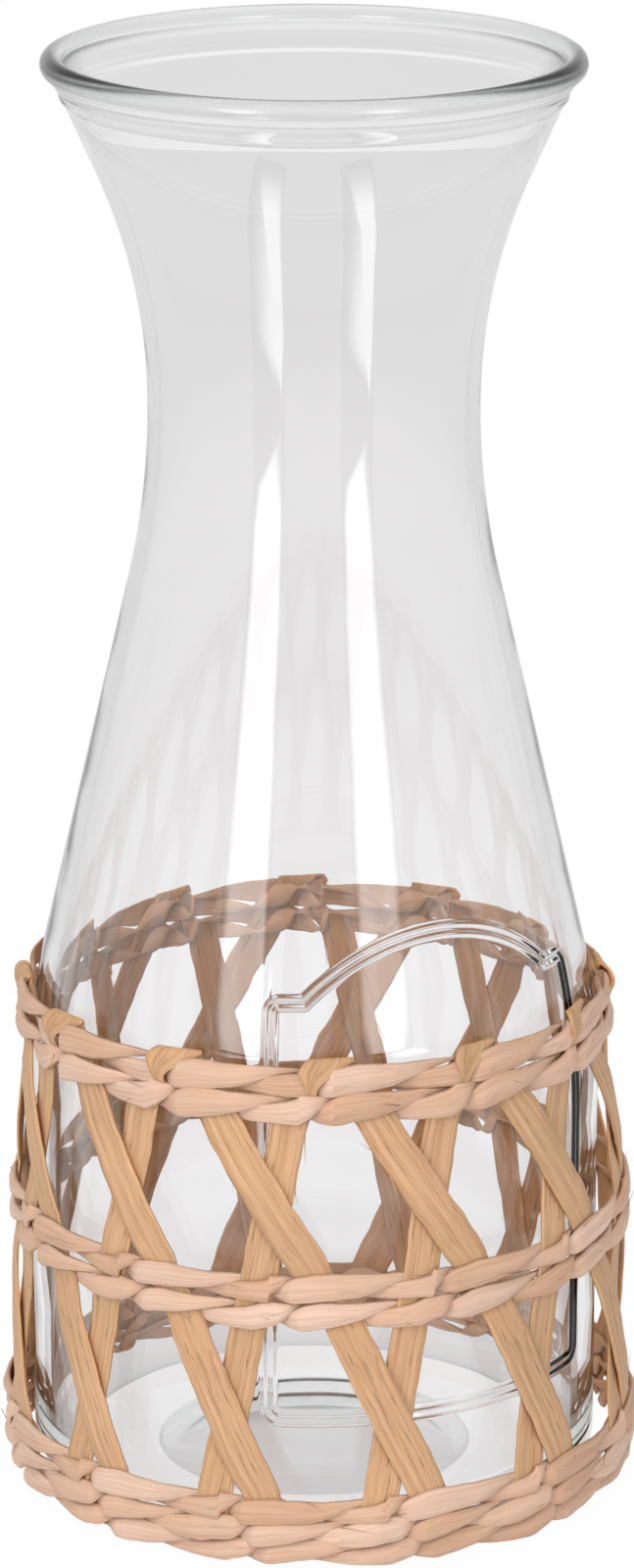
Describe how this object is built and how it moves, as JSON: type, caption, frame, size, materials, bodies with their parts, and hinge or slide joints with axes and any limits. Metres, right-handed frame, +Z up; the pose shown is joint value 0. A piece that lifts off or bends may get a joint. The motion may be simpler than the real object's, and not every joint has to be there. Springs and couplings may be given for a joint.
{
  "type": "carafe",
  "caption": "Clear glass carafe with a waisted neck and flared mouth, its body in an openwork sleeve of folded wood splints bound by twined fibre hoops.",
  "frame": {"origin": "on the table, at the centre of the base", "axes": "+Z up along the glass's axis; -Y is the front of the sleeve, as it is seen in the picture; the raised frame on the body lies 28 degrees from -Y towards +X"},
  "size_m": [0.1116, 0.1116, 0.25],
  "materials": {
    "clear_glass": "clear and polished, with a faint grey-green edge",
    "twined_strand": "dry pinkish-tan plant fibre, matt, with fine lengthwise fibres",
    "splint_wood": "bare pale gold wood splint, matt, with long darker grain lines"
  },
  "bodies": {
    "root": {"glass_bottle": "clear_glass", "splint_01": "splint_wood", "splint_02": "splint_wood", "splint_03": "splint_wood", "splint_04": "splint_wood", "splint_05": "splint_wood", "splint_06": "splint_wood", "splint_07": "splint_wood", "splint_08": "splint_wood", "splint_09": "splint_wood", "splint_10": "splint_wood", "splint_11": "splint_wood", "splint_12": "splint_wood", "top_row_1_strand_a": "twined_strand", "top_row_1_strand_b": "twined_strand", "top_row_2_strand_a": "twined_strand", "top_row_2_strand_b": "twined_strand", "middle_row_1_strand_a": "twined_strand", "middle_row_1_strand_b": "twined_strand", "middle_row_2_strand_a": "twined_strand", "middle_row_2_strand_b": "twined_strand", "bottom_row_1_strand_a": "twined_strand", "bottom_row_1_strand_b": "twined_strand", "bottom_row_2_strand_a": "twined_strand", "bottom_row_2_strand_b": "twined_strand", "bottom_row_3_strand_a": "twined_strand", "bottom_row_3_strand_b": "twined_strand"}
  },
  "joints": []
}
